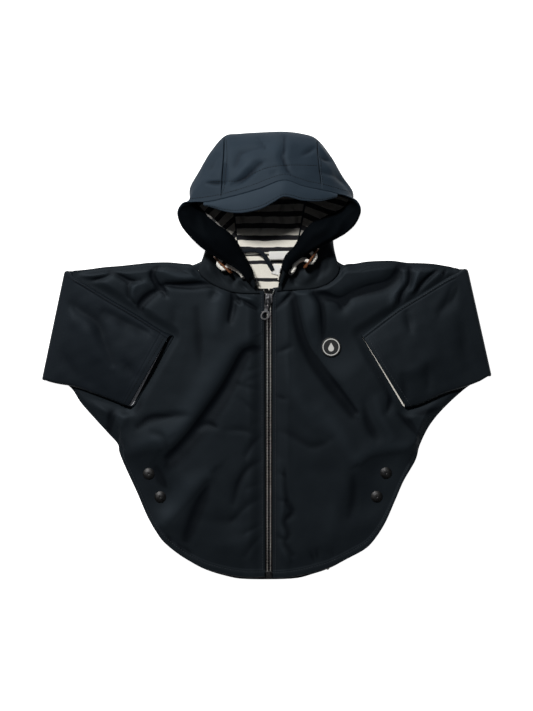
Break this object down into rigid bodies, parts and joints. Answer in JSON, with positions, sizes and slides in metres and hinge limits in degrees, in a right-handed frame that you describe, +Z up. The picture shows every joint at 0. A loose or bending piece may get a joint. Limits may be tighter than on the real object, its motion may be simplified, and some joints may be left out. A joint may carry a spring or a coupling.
{
  "type": "kids raincoat",
  "caption": "Toddler's hooded raincoat laid flat on its back, zip closed, sleeves folded in over the front, with a peaked hood, side snaps and a drawcord.",
  "frame": {"origin": "middle of the coat's outline, on the surface its back lies on", "axes": "+X to the right seen from above, which is the wearer's left, +Y from hem to hood, +Z up from the surface"},
  "size_m": [0.5592, 0.5562, 0.0595],
  "materials": {
    "body_cloth": "matt coated cloth",
    "hood_cloth": "matt coated cloth",
    "lining": "striped jersey",
    "cuff_lining": "soft cotton",
    "tape": "woven tape",
    "zip_metal": "satin",
    "snap_metal": "gunmetal",
    "badge_rubber": "matt",
    "badge_drop": "matt print",
    "cord": "braided cotton",
    "toggle": "oiled",
    "label": "woven, plain"
  },
  "bodies": {
    "coat": {"back": "body_cloth", "body_lining": "lining", "front_left": "body_cloth", "front_right": "body_cloth", "sleeve_left": "body_cloth", "sleeve_right": "body_cloth", "cuff_lining_left": "cuff_lining", "cuff_lining_right": "cuff_lining", "hood_center": "hood_cloth", "hood_left": "hood_cloth", "hood_right": "hood_cloth", "hood_lining_center": "lining", "hood_lining_left": "lining", "hood_lining_right": "lining", "hood_facing_left": "hood_cloth", "hood_facing_right": "hood_cloth", "peak": "hood_cloth", "zip_tape_left": "tape", "zip_tape_right": "tape", "zip_teeth_left": "zip_metal", "zip_teeth_right": "zip_metal", "zip_slider": "zip_metal", "zip_box": "snap_metal", "snap_left_upper": "snap_metal", "snap_left_lower": "snap_metal", "snap_right_upper": "snap_metal", "snap_right_lower": "snap_metal", "badge": "badge_rubber", "badge_drop": "badge_drop", "cord_left": "cord", "cord_right": "cord", "toggle_left": "toggle", "toggle_right": "toggle", "eyelet_left": "zip_metal", "eyelet_right": "zip_metal", "hanging_loop": "tape", "neck_label": "label", "size_label": "label"},
    "pull_tab": {"zip_pull": "zip_metal"}
  },
  "joints": [
    {"name": "zip_pull_swing", "type": "hinge", "parent": "coat", "child": "pull_tab", "pos_m": [0.002, 0.0715, 0.0094], "axis": [-1, 0, 0], "range_deg": [0, 150]}
  ]
}
